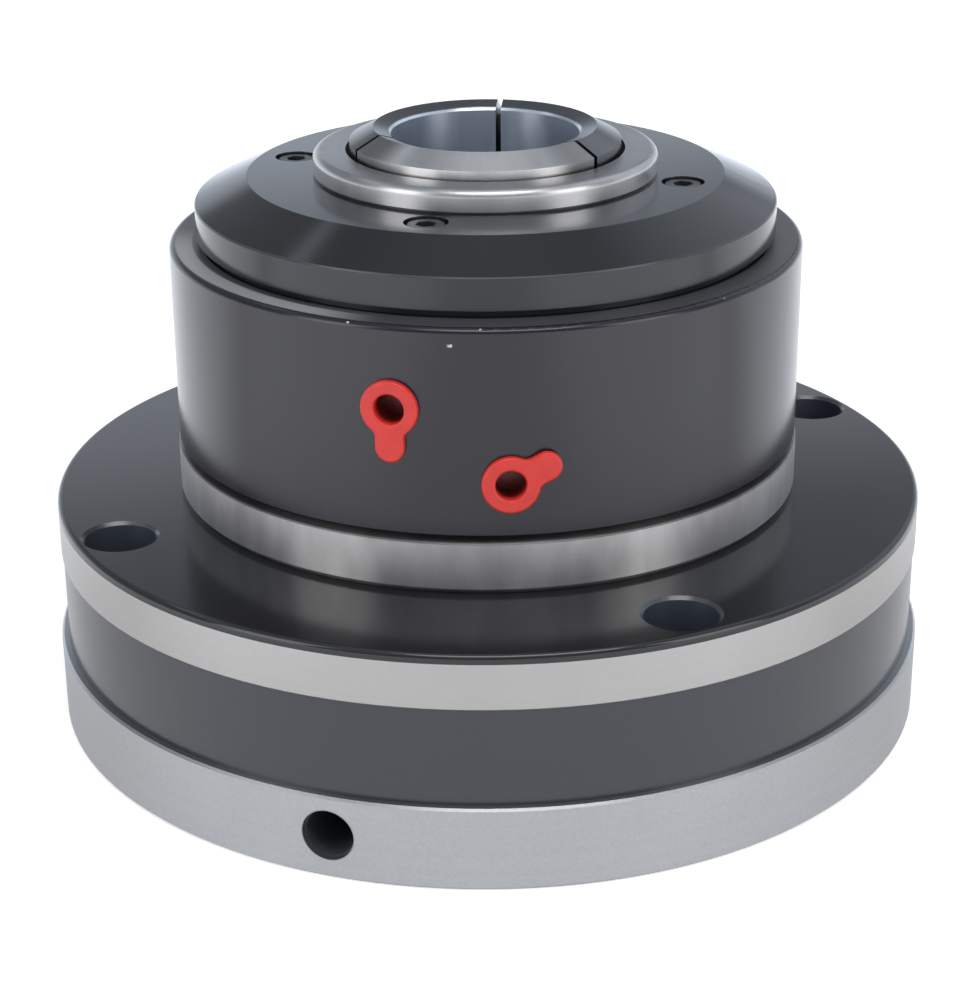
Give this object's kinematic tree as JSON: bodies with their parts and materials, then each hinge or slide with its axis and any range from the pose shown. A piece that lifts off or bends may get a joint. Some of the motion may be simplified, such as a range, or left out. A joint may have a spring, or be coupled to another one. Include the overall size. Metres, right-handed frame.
{
  "type": "pneumatic rotary collet chuck",
  "caption": "Spindle-mounted collet chuck closed by air: a stationary ring with air ports on a turning flanged body, with a cone sleeve that shuts a slit collet.",
  "frame": {"origin": "centre of the back plate's underside, on the spindle axis", "axes": "+Z along the spindle axis, towards the collet's mouth; the air ports face -Y"},
  "size_m": [0.2028, 0.2028, 0.1348],
  "materials": {
    "ground_steel": "fine ground",
    "satin_steel": "satin turned",
    "hardened_steel": "ground and hardened",
    "black_oxide": "black oxide on turned steel, semi-gloss",
    "black_anodised": "black anodised, satin",
    "screw_steel": "black oxide",
    "bearing_steel": "polished",
    "nitrile": "matt",
    "seal_plastic": "matt filled PTFE",
    "cage_plastic": "moulded nylon",
    "red_plastic": "soft moulded polyethylene"
  },
  "bodies": {
    "spindle": {"back_plate": "satin_steel", "spindle_body": "black_oxide", "passage_plugs": "hardened_steel", "housing_screws": "screw_steel", "plate_seal": "nitrile", "hub_seal": "nitrile", "rod_seal": "nitrile", "guide_screw": "screw_steel", "guard_ring": "ground_steel", "running_sleeve": "hardened_steel", "lower_inner_race": "bearing_steel", "upper_inner_race": "bearing_steel", "front_cap": "black_anodised", "cap_screws": "screw_steel", "collet_nut": "hardened_steel", "collet": "hardened_steel"},
    "air_ring": {"air_ring": "black_anodised", "rotary_seal_lower": "seal_plastic", "rotary_seal_middle": "seal_plastic", "rotary_seal_upper": "seal_plastic", "lower_outer_race": "bearing_steel", "upper_outer_race": "bearing_steel"},
    "lower_ball_set": {"lower_cage": "cage_plastic", "lower_balls": "bearing_steel"},
    "upper_ball_set": {"upper_cage": "cage_plastic", "upper_balls": "bearing_steel"},
    "closer": {"closer_sleeve": "hardened_steel", "piston": "satin_steel", "piston_seal": "nitrile", "piston_guide_ring": "seal_plastic"},
    "plug_lower": {"port_plug_lower": "red_plastic"},
    "plug_upper": {"port_plug_upper": "red_plastic"}
  },
  "joints": [
    {"name": "air_ring_turn", "type": "hinge", "parent": "spindle", "child": "air_ring", "pos_m": [0, 0, 0.0882], "axis": [0, 0, 1], "continuous": true},
    {"name": "lower_balls_turn", "type": "hinge", "parent": "spindle", "child": "lower_ball_set", "pos_m": [0, 0, 0.0594], "axis": [0, 0, 1], "continuous": true},
    {"name": "upper_balls_turn", "type": "hinge", "parent": "spindle", "child": "upper_ball_set", "pos_m": [0, 0, 0.1046], "axis": [0, 0, 1], "continuous": true},
    {"name": "closer_slide", "type": "slide", "parent": "spindle", "child": "closer", "axis": [0, 0, 1], "range_m": [-0.005, 0]},
    {"name": "lower_plug_pull", "type": "slide", "parent": "air_ring", "child": "plug_lower", "axis": [0.0663, -0.9978, 0], "range_m": [0, 0.02]},
    {"name": "upper_plug_pull", "type": "slide", "parent": "air_ring", "child": "plug_upper", "axis": [-0.2756, -0.9613, 0], "range_m": [0, 0.02]}
  ],
  "couplings": [
    {"joint": "lower_balls_turn", "follows": "air_ring_turn", "ratio": 0.52204},
    {"joint": "upper_balls_turn", "follows": "air_ring_turn", "ratio": 0.52204}
  ]
}
